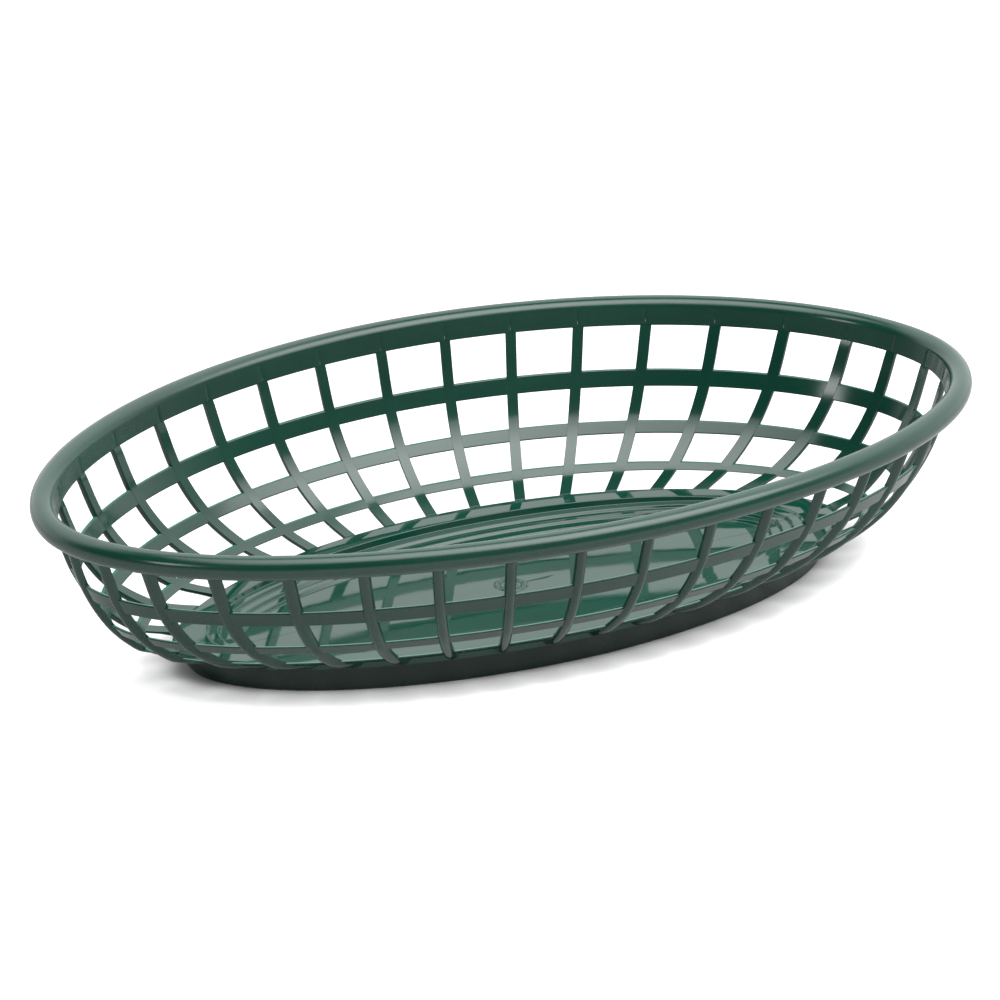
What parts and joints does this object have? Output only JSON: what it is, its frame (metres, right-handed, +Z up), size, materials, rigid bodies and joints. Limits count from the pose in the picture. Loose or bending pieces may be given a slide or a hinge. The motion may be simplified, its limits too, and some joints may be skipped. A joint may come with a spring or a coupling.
{
  "type": "oval food basket",
  "caption": "Open oval basket with a rolled rim, slatted sloping wall and solid stepped floor, for serving food at the table.",
  "frame": {"origin": "on the resting surface, under the middle of the foot", "axes": "+X along the basket's length, +Y across it, +Z up out of the mouth"},
  "size_m": [0.2398, 0.1412, 0.0476],
  "materials": {
    "green_plastic": "dark green moulded plastic, smooth and slightly glossy"
  },
  "bodies": {
    "root": {"rim_bead": "green_plastic", "rim_band": "green_plastic", "upper_hoop": "green_plastic", "middle_hoop": "green_plastic", "lower_hoop": "green_plastic", "rib_01": "green_plastic", "rib_02": "green_plastic", "rib_03": "green_plastic", "rib_04": "green_plastic", "rib_05": "green_plastic", "rib_06": "green_plastic", "rib_07": "green_plastic", "rib_08": "green_plastic", "rib_09": "green_plastic", "rib_10": "green_plastic", "rib_11": "green_plastic", "rib_12": "green_plastic", "rib_13": "green_plastic", "rib_14": "green_plastic", "rib_15": "green_plastic", "rib_16": "green_plastic", "rib_17": "green_plastic", "rib_18": "green_plastic", "rib_19": "green_plastic", "rib_20": "green_plastic", "rib_21": "green_plastic", "rib_22": "green_plastic", "rib_23": "green_plastic", "rib_24": "green_plastic", "rib_25": "green_plastic", "rib_26": "green_plastic", "rib_27": "green_plastic", "rib_28": "green_plastic", "rib_29": "green_plastic", "rib_30": "green_plastic", "rib_31": "green_plastic", "rib_32": "green_plastic", "rib_33": "green_plastic", "rib_34": "green_plastic", "rib_35": "green_plastic", "rib_36": "green_plastic", "floor_panel": "green_plastic", "foot_ring": "green_plastic"}
  },
  "joints": []
}
